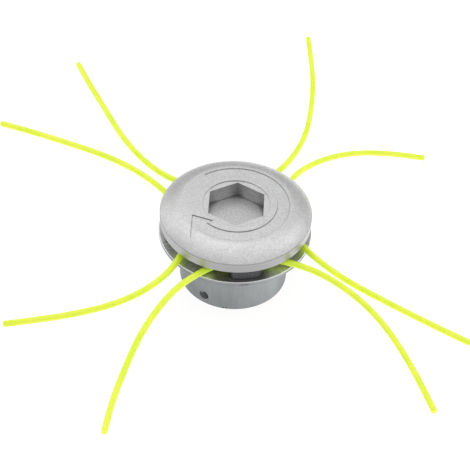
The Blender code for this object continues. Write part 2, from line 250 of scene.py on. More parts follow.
class Piece:
    """One solid piece of the head, from its blank to its finish."""

    def __init__(self, name: str, blank: Blank) -> None:
        """Name the piece and take its blank."""
        self.object = blank.release(name)

    def combine(self, other: Blank, change: Change) -> None:
        """Add or cut another shape.

        Args:
            other: The second shape, which is used up.
            change: Whether it is added or cut away.
        """
        tool = other.release("tool")
        boolean = self.object.modifiers.new("shape", "BOOLEAN")
        boolean.operation = change.value
        boolean.solver = "EXACT"
        boolean.object = tool
        self.settle()
        bpy.data.objects.remove(tool)

    def settle(self) -> None:
        """Make what the modifiers give the piece's own mesh."""
        bpy.context.view_layer.update()
        seen = self.object.evaluated_get(bpy.context.evaluated_depsgraph_get())
        mesh = bpy.data.meshes.new_from_object(seen)
        self.object.modifiers.clear()
        self.object.data = mesh

    def round_edges(self, chosen: Callable[[Vector], bool], width: float) -> None:
        """Round the sharp convex edges whose middle a test accepts.

        Args:
            chosen: Test on an edge's middle point.
            width: Width of the rounding.
        """
        work = bmesh.new()
        work.from_mesh(self.object.data)
        bmesh.ops.remove_doubles(work, verts=work.verts, dist=WELD_DISTANCE)
        crease = math.radians(CREASE_ANGLE)
        edges = [edge for edge in work.edges
                 if edge.is_manifold and edge.calc_face_angle_signed() > crease
                 and chosen((edge.verts[0].co + edge.verts[1].co) / 2)]
        bmesh.ops.bevel(work, geom=edges, offset=width, offset_type="OFFSET", affect="EDGES",
                        segments=BEVEL_SEGMENTS, profile=0.5, material=-1, clamp_overlap=False)
        work.to_mesh(self.object.data)
        work.free()

    def dress(self, material: bpy.types.Material, node: str) -> bpy.types.Object:
        """Shade the piece, give it its material and put it in its node's place.

        Args:
            material: Its finish.
            node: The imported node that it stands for.

        Returns:
            The finished object.
        """
        mesh = self.object.data
        mesh.materials.clear()
        mesh.materials.append(material)
        mesh.shade_smooth()
        mesh.set_sharp_from_angle(angle=math.radians(SHARP_ANGLE))
        weighted = self.object.modifiers.new("flat_faces_first", "WEIGHTED_NORMAL")
        weighted.keep_sharp = True
        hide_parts(node)
        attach(self.object, BODY)
        return self.object


class Channel:
    """A shader socket that takes part in Python expressions on numbers."""

    def __init__(self, tree: "Tree", socket: bpy.types.NodeSocket) -> None:
        """Wrap an output socket of a tree."""
        self.tree = tree
        self.socket = socket

    def _math(self, operation: str, first: "Value", second: "Value") -> "Channel":
        """The result of one Math node."""
        return self.tree.node("ShaderNodeMath", {"operation": operation}, {0: first, 1: second})

    def __add__(self, other: "Value") -> "Channel":
        """This plus another."""
        return self._math("ADD", self, other)

    def __radd__(self, other: "Value") -> "Channel":
        """Another plus this."""
        return self._math("ADD", other, self)

    def __sub__(self, other: "Value") -> "Channel":
        """This minus another."""
        return self._math("SUBTRACT", self, other)

    def __rsub__(self, other: "Value") -> "Channel":
        """Another minus this."""
        return self._math("SUBTRACT", other, self)

    def __mul__(self, other: "Value") -> "Channel":
        """This times another."""
        return self._math("MULTIPLY", self, other)

    def __rmul__(self, other: "Value") -> "Channel":
        """Another times this."""
        return self._math("MULTIPLY", other, self)


Value = Channel | float


class Axis(Enum):
    """An axis of the head, by the name of its socket."""

    X = "X"
    Y = "Y"
    Z = "Z"


@dataclass(frozen=True)
class Band:
    """A stretch of a channel, counted from a level, and how soft its ends are."""

    low: float
    high: float
    soft: float


@dataclass(frozen=True)
class Ramp:
    """A soft step along an axis and what it adds past its end."""

    axis: Axis
    span: Span
    share: float


@dataclass(frozen=True)
class Pattern:
    """Scale, detail and roughness of a fractal noise."""

    scale: float
    detail: float = 3.0
    roughness: float = 0.5


@dataclass(frozen=True)
class Strokes:
    """Fine strokes: how many in a radian round the axis, and their changes in a millimetre."""

    across: float
    along: float
    pattern: Pattern = Pattern(1.0, 3.0, 0.6)


class Tree:
    """A node tree that is written as expressions."""

    def __init__(self, tree: bpy.types.NodeTree) -> None:
        """Take the tree."""
        self.tree = tree

    def node(self, kind: str, settings: dict | None = None, inputs: dict | None = None,
             output: int | str = 0) -> Channel:
        """Add any node.

        Args:
            kind: The node's type.
            settings: Its properties, set before its sockets.
            inputs: Values or channels by socket name or number.
            output: The socket to read.

        Returns:
            That output as a channel.
        """
        made = self.tree.nodes.new(kind)
        for name, value in (settings or {}).items():
            setattr(made, name, value)
        for key, value in (inputs or {}).items():
            if isinstance(value, Channel):
                self.tree.links.new(value.socket, made.inputs[key])
            else:
                made.inputs[key].default_value = value
        return Channel(self, made.outputs[output])

    def step(self, value: Channel, span: Span, level: float = 0.0) -> Channel:
        """A soft step of a channel, from 0 to 1 over a span counted from a level."""
        return self.node("ShaderNodeMapRange", {"interpolation_type": "SMOOTHSTEP"},
                         {"Value": value, "From Min": level + span[0], "From Max": level + span[1]})

    def band(self, value: Channel, band: Band, level: float = 0.0) -> Channel:
        """A soft mask of a channel.

        Args:
            value: The channel.
            band: Where the mask is 1.
            level: Where the band is counted from.

        Returns:
            1 in the band and 0 outside it.
        """
        low, high = level + band.low, level + band.high
        rise = self.step(value, (low - band.soft, low + band.soft))
        return rise * (1.0 - self.step(value, (high - band.soft, high + band.soft)))

    def blend(self, factor: Value, first: "Channel | Colour", second: "Channel | Colour") -> Channel:
        """Mix two colours, the second where the factor is 1."""
        ends = [end if isinstance(end, Channel) else (*end, 1.0) for end in (first, second)]
        return self.node("ShaderNodeMix", {"data_type": "RGBA"},
                         {0: factor, **dict(zip(MIX_COLOURS, ends))}, MIX_RESULT)


class Paint(Tree):
    """A Principled material with the coordinates and patterns that the head's finishes share."""

    def __init__(self, name: str, metallic: float, roughness: float) -> None:
        """Make the material and its coordinates, in millimetres.

        Args:
            name: The material's name.
            metallic: Metallic value all over the surface.
            roughness: Roughness where no pattern changes it.
        """
        self.material = bpy.data.materials.new(name)
        self.material.use_nodes = True
        super().__init__(self.material.node_tree)
        self.shader = self.tree.nodes["Principled BSDF"]
        self.shader.inputs["Metallic"].default_value = metallic
        self.shader.inputs["Roughness"].default_value = roughness
        place = self.node("ShaderNodeTexCoord", output="Object")
        self.place = self.node("ShaderNodeMapping", inputs={"Vector": place, "Scale": (1 / MM,) * 3})
        self.along = {axis: self.node("ShaderNodeSeparateXYZ", inputs={0: self.place}, output=axis.value)
                      for axis in Axis}
        self.x, self.y, self.z = self.along.values()
        flat = self.node("ShaderNodeCombineXYZ", inputs={0: self.x, 1: self.y})
        self.radius = self.node("ShaderNodeVectorMath", {"operation": "LENGTH"}, {0: flat}, "Value")
        self.spoke = self.node("ShaderNodeVectorMath", {"operation": "NORMALIZE"}, {0: flat})

    def ramps(self, ramps: Sequence[Ramp]) -> Channel:
        """What several ramps add up to."""
        return sum((self.step(self.along[ramp.axis], ramp.span) * ramp.share for ramp in ramps), 0.0)

    def noise(self, pattern: Pattern, vector: Channel | None = None) -> Channel:
        """Fractal noise from 0 to 1 on a vector, or else on the piece's own place."""
        return self.node("ShaderNodeTexNoise", {"noise_dimensions": "3D"},
                         {"Vector": vector or self.place, "Scale": pattern.scale,
                          "Detail": pattern.detail, "Roughness": pattern.roughness})

    def stretched(self, factors: Stretch) -> Channel:
        """The piece's own place times a factor on each axis."""
        return self.node("ShaderNodeVectorMath", {"operation": "MULTIPLY"}, {0: self.place, 1: factors})

    def strokes(self, strokes: Strokes, channel: Channel) -> Channel:
        """Fine strokes that run along one channel and change round the axis.

        Args:
            strokes: How fine they are.
            channel: The channel that they follow.

        Returns:
            The strokes from 0 to 1.
        """
        turn = self.node("ShaderNodeVectorMath", {"operation": "SCALE"},
                         {0: self.spoke, "Scale": strokes.across})
        rise = self.node("ShaderNodeCombineXYZ", inputs={2: channel * strokes.along})
        both = self.node("ShaderNodeVectorMath", {"operation": "ADD"}, {0: turn, 1: rise})
        return self.noise(strokes.pattern, both)

    def ring(self, radius: float, width: float) -> Channel:
        """A soft mask round the axis at a radius."""
        return self.band(self.radius, Band(-width / 2, width / 2, width * LINE_SOFT_SHARE), radius)

    def sector(self, first: float, last: float) -> Channel:
        """A soft mask between two azimuths in degrees."""
        azimuth = self.node("ShaderNodeMath", {"operation": "ARCTAN2"}, {0: self.y, 1: self.x})
        return self.band(azimuth, Band(math.radians(first), math.radians(last), SECTOR_SOFTNESS))

    def seam(self, start: Point, end: Point, width: float) -> Channel:
        """A soft mask along a straight line seen from above.

        Args:
            start: Where the line starts, in metres.
            end: Where it ends.
            width: Its width in millimetres.

        Returns:
            1 on the line and 0 off it.
        """
        run = (Vector(end) - Vector(start)) / MM
        way = run.normalized()
        soft = width * LINE_SOFT_SHARE
        from_x, from_y = self.x - start[0] / MM, self.y - start[1] / MM
        return (self.band(from_y * way.x - from_x * way.y, Band(-width / 2, width / 2, soft))
                * self.band(from_x * way.x + from_y * way.y, Band(0.0, run.length, soft)))

    def vary(self, value: float, pattern: Channel, amount: float) -> Channel:
        """A value that a pattern moves up and down by half an amount."""
        return value + (pattern - NOISE_MEAN) * amount

    def wear(self, socket: str, value: Channel) -> None:
        """Link a channel to one of the shader's sockets."""
        self.tree.links.new(value.socket, self.shader.inputs[socket])

    def emboss(self, height: Channel, depth: float) -> None:
        """Bump the surface by a channel, where 1 stands for that depth in metres."""
        self.wear("Normal", self.node("ShaderNodeBump",
                                      inputs={"Height": height, "Distance": depth, "Strength": 1.0}))


@dataclass(frozen=True)
class Shared:
    """Heights and radii that the pieces share, read from the frame."""

    flange_top: float
    cap_bottom: float
    cap_radius: float
    rim_radius: float
    spigot_end: float
    line_height: float
    bush_low: float
    bush_top: float
    bush_flange_radius: float

    @classmethod
    def from_frame(cls) -> "Shared":
        """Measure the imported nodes.

        Returns:
            Their shared heights and radii.
        """
        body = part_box("hub_body")[1]
        cap_low, cap_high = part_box("cap_disc")
        bush_low, bush_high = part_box("shaft_thread_insert")
        line_low, line_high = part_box("front_line")
        line_height = (line_low.z + line_high.z) / 2
        cap_bottom = body.z + FIT_GAP
        return cls(flange_top=2 * line_height - cap_bottom, cap_bottom=cap_bottom,
                   cap_radius=cap_high.x, rim_radius=body.x, spigot_end=cap_low.z,
                   line_height=line_height, bush_low=bush_low.z, bush_top=bush_high.z,
                   bush_flange_radius=bush_high.x)


@dataclass(frozen=True)
class BodyFinish:
    """Colours, patterns and marks of the cast body, with painted light and shade."""

    # Hub tones, mixed by the cast pattern and by the painted light of the ramps below.
    hub: Colour = (0.25, 0.265, 0.27)
    hub_light: Colour = (0.47, 0.49, 0.50)
    hub_bias: float = -0.70
    # Painted light and shade on the hub: lighter towards the right and higher up, darker at its far left
    # and far right.
    hub_painted_light_ramps: tuple[Ramp, ...] = (
        Ramp(Axis.X, (-8.0, 20.0), 0.5), Ramp(Axis.X, (-28.0, -17.0), 0.3),
        Ramp(Axis.X, (17.0, 27.0), -0.6), Ramp(Axis.Z, (0.0, 14.0), 0.2),
    )
    flange: Colour = (0.54, 0.55, 0.54)
    flange_light: Colour = (0.80, 0.81, 0.80)
    # Painted shade: the core and post walls in the groove are painted dark, darkest by the front and back
    # posts and less dark towards the sides.
    wall: Colour = (0.055, 0.057, 0.06)
    wall_painted_shade_lighter: Colour = (0.13, 0.135, 0.14)
    wall_contrast: float = 0.4
    side_wall_painted_shade: Colour = (0.20, 0.205, 0.205)
    side_wall_reach: float = 30.0
    # Near-white paint for the rim's upper edge, partly a polish and partly a painted highlight, also mixed
    # into the pin hole as painted light.
    polish_and_painted_light: Colour = (0.95, 0.95, 0.95)
    # Dark paint for painted shade by the posts, under the rim and in the nick, and for the dark mark under
    # the rim.
    dark: Colour = (0.06, 0.06, 0.06)
    metallic: float = 0.9
    flange_metallic: float = 0.55
    roughness: float = 0.46
    grain_roughness: float = 0.12
    flange_roughness: float = 0.38
    polished_roughness: float = 0.22
    streaks: Strokes = Strokes(46.0, 0.05)
    brush: Strokes = Strokes(80.0, 0.12)
    brush_contrast: Span = (0.35, 0.72)
    cloud: Pattern = Pattern(0.12)
    grain: Pattern = Pattern(2.5)
    pattern_share: float = 0.5
    brush_height: float = 0.3
    grain_depth: float = 0.02 * MM
    # Painted shade on the flange beside the front and back posts.
    post_shade: float = 0.75
    post_shade_left: float = 9.0
    post_shade_right: float = 3.0
    post_shade_soft: float = 3.0
    groove_start: Span = (-0.2, -0.05)
    wall_start: Span = (0.1, 0.4)
    # The rim's upper edge: a polish, with a painted highlight in part.
    edge_start: Span = (-0.4, -0.25)
    edge_band: Band = Band(-0.25, 0.1, 0.06)
    rim_start: Span = (-0.7, -0.4)
    # Painted shade: a dark line under the rim, then a dark mark in one sector.
    rim_line: Band = Band(-0.1, 0.45, 0.1)
    rim_line_shade: float = 0.45
    rim_mark: Band = Band(-0.1, 0.8, 0.1)
    rim_mark_sector: Span = (-95.0, -89.0)
    rim_mark_shade: float = 0.75
    # Painted light inside the pin hole.
    hole_depth: Band = Band(-3.8, -0.3, 0.15)
    hole_height: Band = Band(-3.2, 3.2, 0.2)
    hole_painted_light: float = 0.3
    # Painted shade in the nick.
    nick_half_sector: float = 2.5
    nick_top: Span = (0.9, 1.3)
    nick_depth: Span = (-1.5, -1.2)

    def hub_colour(self, paint: Paint, body: "CastBody", streaks: Channel) -> Channel:
        """Colour of the hub, with painted light across it, a painted shade line under the rim and a dark
        mark there.

        Args:
            paint: The material under work.
            body: The body, whose sizes place the paint.
            streaks: The casting's upright streaks.

        Returns:
            The colour.
        """
        cast = (streaks + paint.noise(self.cloud)) * self.pattern_share + self.hub_bias
        # Painted light: the ramps lighten and darken the hub by side and height.
        hub = paint.blend(cast + paint.ramps(self.hub_painted_light_ramps), self.hub, self.hub_light)
        under = body.hub_height / MM
        mark = paint.band(paint.z, self.rim_mark, under) * paint.sector(*self.rim_mark_sector)
        # Painted shade line under the rim, plus the dark mark.
        shade = paint.band(paint.z, self.rim_line, under) * self.rim_line_shade + mark * self.rim_mark_shade
        outside = paint.step(paint.radius, self.rim_start, body.shared.rim_radius / MM)
        return paint.blend(outside * shade, hub, self.dark)

    def groove_colour(self, paint: Paint, body: "CastBody", patterns: tuple[Channel, Channel],
                      on_wall: Channel) -> Channel:
        """Colour of the flange, with painted shade by the front and back posts, and of the core and posts
        on it, painted dark as shade.

        Args:
            paint: The material under work.
            body: The body, whose sizes place the paint.
            patterns: The flange's brush marks and the casting's streaks.
            on_wall: Mask of the core and the posts.

        Returns:
            The colour.
        """
        brush, streaks = patterns
        half = body.post_width / 2 / MM
        # Painted shade on the flange beside the front and back posts.
        post_painted_shade = paint.band(paint.x, Band(-half - self.post_shade_left, half + self.post_shade_right,
                                           self.post_shade_soft))
        flange = paint.blend(brush, self.flange, self.flange_light)
        flange = paint.blend(post_painted_shade * self.post_shade, flange, self.dark)
        # Core and post walls painted dark as shade, less dark away from the front and back.
        wall = paint.blend((brush + streaks) * self.wall_contrast, self.wall, self.wall_painted_shade_lighter)
        aside = paint.step(paint.x * paint.x, (half ** 2, self.side_wall_reach ** 2))
        return paint.blend(on_wall, flange, paint.blend(aside, wall, self.side_wall_painted_shade))

    def material(self, body: "CastBody") -> bpy.types.Material:
        """Satin hub, brushed flange, walls painted dark as shade and a rim edge with a polish, with painted
        light and shade.

        Args:
            body: The body, whose sizes place the paint.

        Returns:
            The material.
        """
        paint = Paint("cast_aluminium_body", self.metallic, self.roughness)
        flange_top = body.shared.flange_top / MM
        face = body.hub_radius / MM
        streaks = paint.strokes(self.streaks, paint.z)
        brush = paint.step(paint.strokes(self.brush, paint.radius), self.brush_contrast)
        grain = paint.noise(self.grain)
        in_groove = paint.step(paint.z, self.groove_start, flange_top)
        on_wall = paint.step(paint.z, self.wall_start, flange_top)
        on_flange = in_groove * (1.0 - on_wall)
        # The rim's upper edge: a polish, and its near-white colour a painted highlight in part.
        edge = (paint.step(paint.radius, self.edge_start, body.shared.rim_radius / MM)
                * paint.band(paint.z, self.edge_band, flange_top))
        # Painted light inside the pin hole.
        in_hole = (paint.band(paint.radius, self.hole_depth, face)
                   * paint.band(paint.z, self.hole_height, body.pin_hole_height / MM))
        nick = (paint.sector(body.nick_azimuth - self.nick_half_sector,
                             body.nick_azimuth + self.nick_half_sector)
                * (1.0 - paint.step(paint.z, self.nick_top))
                * paint.step(paint.radius, self.nick_depth, face))
        bare = paint.blend(in_groove, self.hub_colour(paint, body, streaks),
                           self.groove_colour(paint, body, (brush, streaks), on_wall))
        # Painted shade in the nick.
        bare = paint.blend(nick, bare, self.dark)
        paint.wear("Base Color", paint.blend(edge + in_hole * self.hole_painted_light, bare, self.polish_and_painted_light))
        paint.wear("Metallic", self.metallic - on_flange * (self.metallic - self.flange_metallic))
        paint.wear("Roughness", paint.vary(self.roughness, grain, self.grain_roughness)
                   - edge * (self.roughness - self.polished_roughness)
                   - on_flange * (self.roughness - self.flange_roughness))
        paint.emboss((grain + streaks) * self.pattern_share + brush * on_flange * self.brush_height,
                     self.grain_depth)
        return paint.material


@dataclass
class CastBody:
    """The cast body: hub, cup, boss, flange, core and four line posts."""

    shared: Shared
    finish: BodyFinish = field(default_factory=BodyFinish)
    hub_radius: float = 29.1 * MM
    hub_height: float = 30.2 * MM
    hub_wall: float = 4.1 * MM
    root_fillet: float = 3.0 * MM
    root_thickness: float = 3.9 * MM
    hub_edge: float = 0.35 * MM
    rim_edge: float = 0.3 * MM
    bush_edge: float = 0.6 * MM
    cup_depth: float = 20.0 * MM
    cup_fillet: float = 2.0 * MM
    boss_wall: float = 3.7 * MM
    boss_recess: float = 5.0 * MM
    boss_fillet: float = 1.5 * MM
    bush_radius: float = 7.0 * MM
    spigot_radius: float = 19.0 * MM
    spigot_edge: float = 0.4 * MM
    line_reach: float = 27.0 * MM
    line_radius: float = 1.65 * MM
    post_count: int = 4
    post_width: float = 16.5 * MM
    post_rim_margin: float = 1.8 * MM
    post_back_radius: float = 25.0 * MM
    post_corner: float = 2.5 * MM
    post_root: float = 1.0 * MM
    pin_hole_radius: float = 2.65 * MM
    pin_hole_height: float = 5.7 * MM
    pin_hole_azimuth: float = -131.5
    pin_hole_sides: int = 64
    pin_hole_edge: float = 0.25 * MM
    nick_radius: float = 0.75 * MM
    nick_floor_radius: float = 0.375 * MM
    nick_depth: float = 0.6 * MM
    nick_sides: int = 10
    nick_azimuth: float = -107.7

    def section(self) -> list[Point]:
        """Half section of the body from its spigot bore round to the bush's hole.

        Returns:
            Points (radius, height) of the section.
        """
        shared = self.shared
        bore = self.spigot_radius + FIT_GAP
        bore_floor = shared.spigot_end - FIT_GAP
        core_top = shared.cap_bottom - FIT_GAP
        core = self.line_reach - self.line_radius - FIT_GAP
        cup = self.hub_radius - self.hub_wall
        hole = self.bush_radius + FIT_GAP
        boss = hole + self.boss_wall
        hole_top = shared.bush_top + FIT_GAP
        return rounded((
            (0.0, bore_floor, 0.0), (bore, bore_floor, 0.0), (bore, core_top, self.spigot_edge),
            (core, core_top, self.spigot_edge), (core, shared.flange_top, self.rim_edge),
            (shared.rim_radius, shared.flange_top, self.rim_edge),
            (shared.rim_radius, self.hub_height, self.rim_edge),
            (self.hub_radius, shared.flange_top - self.root_thickness, self.root_fillet),
            (self.hub_radius, 0.0, self.hub_edge), (cup, 0.0, self.hub_edge),
            (cup, self.cup_depth, self.cup_fillet), (boss, self.cup_depth, self.boss_fillet),
            (boss, self.boss_recess, self.hub_edge), (hole, self.boss_recess, self.bush_edge),
            (hole, hole_top, 0.0), (0.0, hole_top, 0.0),
        ))

    def post_plan(self) -> list[Point]:
        """Plan of a post: arcs behind and in front, round corners and straight sides.

        Returns:
            Points of the outline, with X out along the post.
        """
        outer = self.shared.rim_radius - self.post_rim_margin
        corner = self.post_corner
        back_center = (self.line_reach + self.line_radius + FIT_GAP) + self.post_back_radius
        side = self.post_width / 2 - corner
        back_corner = back_center - math.sqrt((self.post_back_radius - corner) ** 2 - side ** 2)
        front_corner = math.sqrt((outer - corner) ** 2 - side ** 2)
        back_angle = math.atan2(side, back_center - back_corner)
        front_angle = math.atan2(side, front_corner)
        quarter = math.pi / 2
        behind = math.pi - back_angle
        return (arc((0.0, 0.0), outer, -front_angle, front_angle)
                + arc((front_corner, side), corner, front_angle, quarter)[1:]
                + arc((back_corner, side), corner, quarter, behind)
                + arc((back_center, 0.0), self.post_back_radius, behind, math.pi + back_angle)[1:]
                + arc((back_corner, -side), corner, math.pi + back_angle, 3 * quarter)[1:]
                + arc((front_corner, -side), corner, -quarter, -front_angle)[:-1])

    def on_hub(self, azimuth: float, height: float) -> Matrix:
        """A place on the hub's face whose Z points straight out."""
        return (Matrix.Rotation(math.radians(azimuth), 4, "Z")
                @ Matrix.Translation((self.hub_radius, 0.0, height)) @ Matrix.Rotation(math.pi / 2, 4, "Y"))

    def pin_hole(self) -> Blank:
        """Cutter for the locking pin's hole, through the hub's wall.

        Returns:
            The cutter.
        """
        place = (self.on_hub(self.pin_hole_azimuth, self.pin_hole_height)
                 @ Matrix.Translation((0.0, 0.0, -self.hub_wall / 2)))
        return Blank().cone(self.pin_hole_radius, self.pin_hole_radius, self.hub_wall + 2 * CUTTER_REACH,
                            self.pin_hole_sides, place)

    def nick(self) -> Blank:
        """Cutter for the small nick in the hub's lower edge."""
        return Blank().cone(self.nick_floor_radius, self.nick_radius, 2 * self.nick_depth, self.nick_sides,
                            self.on_hub(self.nick_azimuth, 0.0))

    def build(self) -> list[bpy.types.Object]:
        """Turn the body, add its posts, drill it, nick it and dress it.

        Returns:
            The finished body.
        """
        body = Piece("cast_body", Blank().turn(self.section()))
        for index in range(self.post_count):
            post = Blank().extrude(self.post_plan(), self.shared.flange_top - self.post_root,
                                   self.shared.cap_bottom - FIT_GAP, 360.0 / self.post_count * index)
            body.combine(post, Change.ADD)
        body.combine(self.pin_hole(), Change.CUT)
        body.combine(self.nick(), Change.CUT)
        hole = Vector((*polar(self.hub_radius, self.pin_hole_azimuth), self.pin_hole_height))
        body.round_edges(lambda middle: (middle - hole).length < 2 * self.pin_hole_radius,
                         self.pin_hole_edge)
        return [body.dress(self.finish.material(self), "hub_body")]


@dataclass(frozen=True)
class CapFinish:
    """Colours, patterns and marks of the cap, with painted shade."""

    top: Colour = (0.61, 0.61, 0.615)
    top_light: Colour = (0.85, 0.85, 0.855)
    top_contrast: Span = (0.42, 0.88)
    top_start: Span = (-0.1, 0.35)
    side: Colour = (0.33, 0.33, 0.335)
    side_light: Colour = (0.53, 0.53, 0.535)
    pocket: Colour = (0.47, 0.47, 0.475)
    pocket_floor: Colour = (0.53, 0.53, 0.535)
    pocket_light: Colour = (0.73, 0.73, 0.735)
    # Dark paint for painted shade: the lines round the arrow and spot face, the line under the shoulder's
    # edge and the pocket's foot and corners.
    dark: Colour = (0.10, 0.10, 0.105)
    metallic: float = 0.85
    roughness: float = 0.5
    grain_roughness: float = 0.14
    side_gloss: float = 0.05
    grain: Pattern = Pattern(1.5, 4.0, 0.7)
    blots: Pattern = Pattern(0.7, 2.0)
    cloud: Pattern = Pattern(0.13)
    spokes: Strokes = Strokes(38.0, 0.06)
    grain_share: float = 0.7
    blots_share: float = 0.35
    cloud_share: float = 0.15
    spokes_share: float = 0.1
    grain_depth: float = 0.03 * MM
    turning: Pattern = Pattern(1.1)
    turning_stretch: Stretch = (0.0, 0.0, 1.0)
    turning_contrast: Span = (0.32, 0.68)
    turning_share: float = 0.8
    turning_height: float = 0.6
    side_grain_share: float = 0.2
    # Painted shade line on the side just below the shoulder's edge.
    edge_line: Band = Band(-0.5, -0.1, 0.15)
    edge_line_shade: float = 0.3
    # Painted shade lines round the arrow and on the spot face's wall.
    line_shade: float = 0.48
    line_width: float = 0.28
    outer_line_width: float = 0.5
    outer_line_share: float = 0.55
    head_line_share: float = 1.2
    spot_wall_start: Span = (0.02, 0.1)
    spot_wall_share: float = 0.8
    # Painted shade on the spot face's wall that grows towards the back.
    spot_wall_painted_shade_ramps: tuple[Ramp, ...] = (Ramp(Axis.Y, (12.0, 17.0), 0.8),)
    pocket_grain: Pattern = Pattern(1.1, 4.0, 0.7)
    pocket_grain_contrast: Span = (0.35, 0.65)
    drawn: Pattern = Pattern(1.0, 2.0)
    drawn_stretch: Stretch = (0.25, 0.25, 3.0)
    drawn_contrast: Span = (0.2, 0.8)
    pocket_wall_start: Span = (0.02, 0.12)
    pocket_reach: Span = (0.1, 0.3)
    pocket_mouth: Span = (-0.3, -0.1)
    # Painted shade at the foot of the pocket's walls and in its corners.
    foot_reach: Span = (-0.9, 0.0)
    foot_rise: Span = (0.0, 1.0)
    foot_shade: float = 0.38
    corner_start: float = 0.1
    corner_margin: float = 0.6
    corner_fade: Span = (2.0, 9.0)
    corner_fade_share: float = 0.6
    corner_shade: float = 0.33

    def lines(self, paint: Paint, cap: "Cap") -> Channel:
        """Mask of the painted shade lines round the arrow and on the spot face's wall, the latter darker at
        the back.

        Args:
            paint: The material under work.
            cap: The cap, whose sizes place the paint.

        Returns:
            How dark the lines are.
        """
        inner, outer = cap.arrow_radii()
        arcs = (paint.ring(inner / MM, self.line_width)
                + paint.ring(outer / MM, self.outer_line_width) * self.outer_line_share)
        band = arcs * paint.sector(cap.arrow_neck_azimuth, cap.arrow_tail_azimuth)
        corners = [polar(outer, cap.arrow_neck_azimuth), *cap.arrow_head(),
                   polar(inner, cap.arrow_neck_azimuth)]
        head = sum((paint.seam(*ends, self.line_width) for ends in zip(corners, corners[1:])), 0.0)
        spot_wall = (paint.ring(cap.spot_face_radius / MM, self.line_width)
                     * paint.step(paint.z, self.spot_wall_start, cap.spot_face / MM)
                     * (self.spot_wall_share + paint.ramps(self.spot_wall_painted_shade_ramps)))
        return band + head * self.head_line_share + spot_wall

    def pocket_paint(self, paint: Paint, cap: "Cap") -> tuple[Channel, Channel]:
        """Paint of the hexagonal pocket, with painted shade at the walls' foot and where they meet.

        Args:
            paint: The material under work.
            cap: The cap, whose sizes place the paint.

        Returns:
            The pocket's colour and the mask of its place.
        """
        corner = cap.hex_corner_radius / MM
        flat = cap.hex_across_flats / 2 / MM
        floor = cap.pocket_floor / MM
        grain = paint.noise(self.pocket_grain)
        drawn = paint.noise(self.drawn, paint.stretched(self.drawn_stretch)) + grain - NOISE_MEAN
        walls = paint.blend(paint.step(drawn, self.drawn_contrast), self.pocket, self.pocket_light)
        ground = paint.blend(paint.step(grain, self.pocket_grain_contrast), self.pocket_floor,
                             self.pocket_light)
        colour = paint.blend(paint.step(paint.z, self.pocket_wall_start, floor), ground, walls)
        foot = (paint.step(paint.radius, self.foot_reach, flat)
                * (1.0 - paint.step(paint.z, self.foot_rise, floor)))
        corners = (paint.step(paint.radius, (flat + self.corner_start, corner - self.corner_margin))
                   * (1.0 - paint.step(paint.z, self.corner_fade, floor) * self.corner_fade_share))
        # Painted shade at the walls' foot and in the corners.
        colour = paint.blend(foot * self.foot_shade + corners * self.corner_shade, colour, self.dark)
        place = ((1.0 - paint.step(paint.radius, self.pocket_reach, corner))
                 * (1.0 - paint.step(paint.z, self.pocket_mouth, cap.spot_face / MM)))
        return colour, place

    def material(self, cap: "Cap") -> bpy.types.Material:
        """Light blasted top, turned side and duller pocket.

        Args:
            cap: The cap, whose sizes place the paint.

        Returns:
            The material.
        """
        paint = Paint("blasted_aluminium_cap", self.metallic, self.roughness)
        edge_top = cap.edge_top / MM
        grain = paint.noise(self.grain)
        blasted = (grain * self.grain_share + paint.noise(self.blots) * self.blots_share
                   + paint.noise(self.cloud) * self.cloud_share
                   + paint.strokes(self.spokes, paint.radius) * self.spokes_share)
        top = paint.blend(paint.step(blasted, self.top_contrast), self.top, self.top_light)
        # Painted shade lines round the arrow and on the spot face's wall.
        top = paint.blend(self.lines(paint, cap) * self.line_shade, top, self.dark)
        turning = paint.noise(self.turning, paint.stretched(self.turning_stretch))
        turned = (paint.step(turning, self.turning_contrast) * self.turning_share
                  + grain * self.side_grain_share)
        side = paint.blend(turned, self.side, self.side_light)
        # Painted shade line just below the shoulder's edge.
        edge_line = paint.band(paint.z, self.edge_line, edge_top) * self.edge_line_shade
        side = paint.blend(edge_line, side, self.dark)
        on_side = 1.0 - paint.step(paint.z, self.top_start, edge_top)
        pocket, in_pocket = self.pocket_paint(paint, cap)
        paint.wear("Base Color", paint.blend(in_pocket, paint.blend(on_side, top, side), pocket))
        paint.wear("Roughness", paint.vary(self.roughness, grain, self.grain_roughness)
                   - on_side * self.side_gloss)
        paint.emboss(grain + turning * self.turning_height * on_side, self.grain_depth)
        return paint.material


